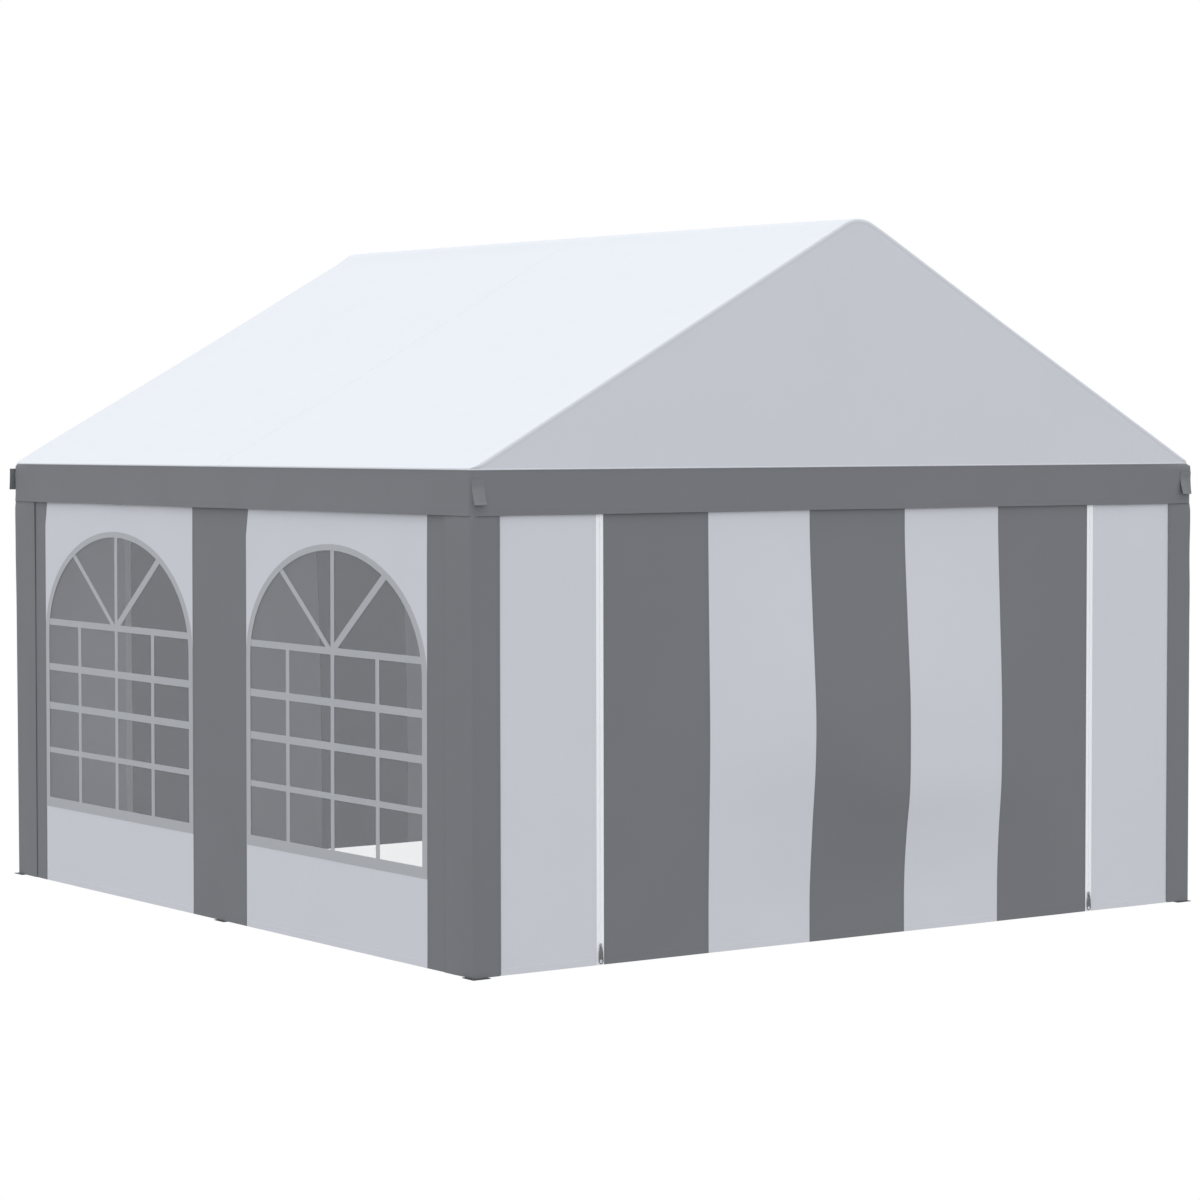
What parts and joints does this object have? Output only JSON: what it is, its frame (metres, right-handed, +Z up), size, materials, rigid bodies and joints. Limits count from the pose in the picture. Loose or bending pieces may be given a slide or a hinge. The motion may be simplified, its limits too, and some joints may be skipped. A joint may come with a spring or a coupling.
{
  "type": "party marquee tent",
  "caption": "Gabled party marquee on a steel tube frame, with white and grey striped walls, arched windows in both long sides and a zipped door panel in each gable end.",
  "frame": {"origin": "middle of the footprint, on the ground under the foot plates", "axes": "+Z up, +Y along the ridge from the front gable to the back one, +X to the right as seen from the front"},
  "size_m": [4.034, 4.2326, 3.1269],
  "materials": {
    "frame_steel": "galvanised tube, dull",
    "roof_cloth": "white coated polyethylene cloth",
    "wall_cloth": "white coated polyethylene cloth, with grey stripes on the walls",
    "grey_cloth": "grey coated polyethylene cloth",
    "window_film": "clear soft vinyl film",
    "zip_tape": "white woven zip tape",
    "zip_metal": "die-cast, satin"
  },
  "bodies": {
    "tent": {"leg_front_left": "frame_steel", "leg_middle_left": "frame_steel", "leg_back_left": "frame_steel", "leg_front_right": "frame_steel", "leg_middle_right": "frame_steel", "leg_back_right": "frame_steel", "eave_rail_front_left": "frame_steel", "eave_rail_back_left": "frame_steel", "eave_rail_front_right": "frame_steel", "eave_rail_back_right": "frame_steel", "gable_tie_front": "frame_steel", "gable_tie_back": "frame_steel", "rafter_front_left": "frame_steel", "rafter_middle_left": "frame_steel", "rafter_back_left": "frame_steel", "rafter_front_right": "frame_steel", "rafter_middle_right": "frame_steel", "rafter_back_right": "frame_steel", "ridge_connector_front": "frame_steel", "ridge_connector_middle": "frame_steel", "ridge_connector_back": "frame_steel", "ridge_tube_front": "frame_steel", "ridge_tube_back": "frame_steel", "roof_cover_left": "roof_cloth", "roof_cover_right": "roof_cloth", "gable_front": "wall_cloth", "gable_back": "wall_cloth", "valance_left": "grey_cloth", "valance_right": "grey_cloth", "valance_front": "grey_cloth", "valance_back": "grey_cloth", "corner_cover_front_left": "grey_cloth", "corner_cover_back_left": "grey_cloth", "corner_cover_front_right": "grey_cloth", "corner_cover_back_right": "grey_cloth", "wall_left": "wall_cloth", "wall_right": "wall_cloth", "window_front_left": "window_film", "window_back_left": "window_film", "window_front_right": "window_film", "window_back_right": "window_film", "wall_front_left": "wall_cloth", "wall_front_right": "wall_cloth", "wall_back_left": "wall_cloth", "wall_back_right": "wall_cloth", "door_panel_front": "wall_cloth", "door_panel_back": "wall_cloth", "zip_front_left": "zip_tape", "zip_front_right": "zip_tape", "zip_back_left": "zip_tape", "zip_back_right": "zip_tape"},
    "slider_front_left": {"zip_slider_front_left": "zip_metal"},
    "slider_front_right": {"zip_slider_front_right": "zip_metal"},
    "slider_back_left": {"zip_slider_back_left": "zip_metal"},
    "slider_back_right": {"zip_slider_back_right": "zip_metal"}
  },
  "joints": [
    {"name": "zip_front_left", "type": "slide", "parent": "tent", "child": "slider_front_left", "axis": [0, 0, 1], "range_m": [0, 1.76]},
    {"name": "zip_front_right", "type": "slide", "parent": "tent", "child": "slider_front_right", "axis": [0, 0, 1], "range_m": [0, 1.76]},
    {"name": "zip_back_left", "type": "slide", "parent": "tent", "child": "slider_back_left", "axis": [0, 0, 1], "range_m": [0, 1.76]},
    {"name": "zip_back_right", "type": "slide", "parent": "tent", "child": "slider_back_right", "axis": [0, 0, 1], "range_m": [0, 1.76]}
  ]
}
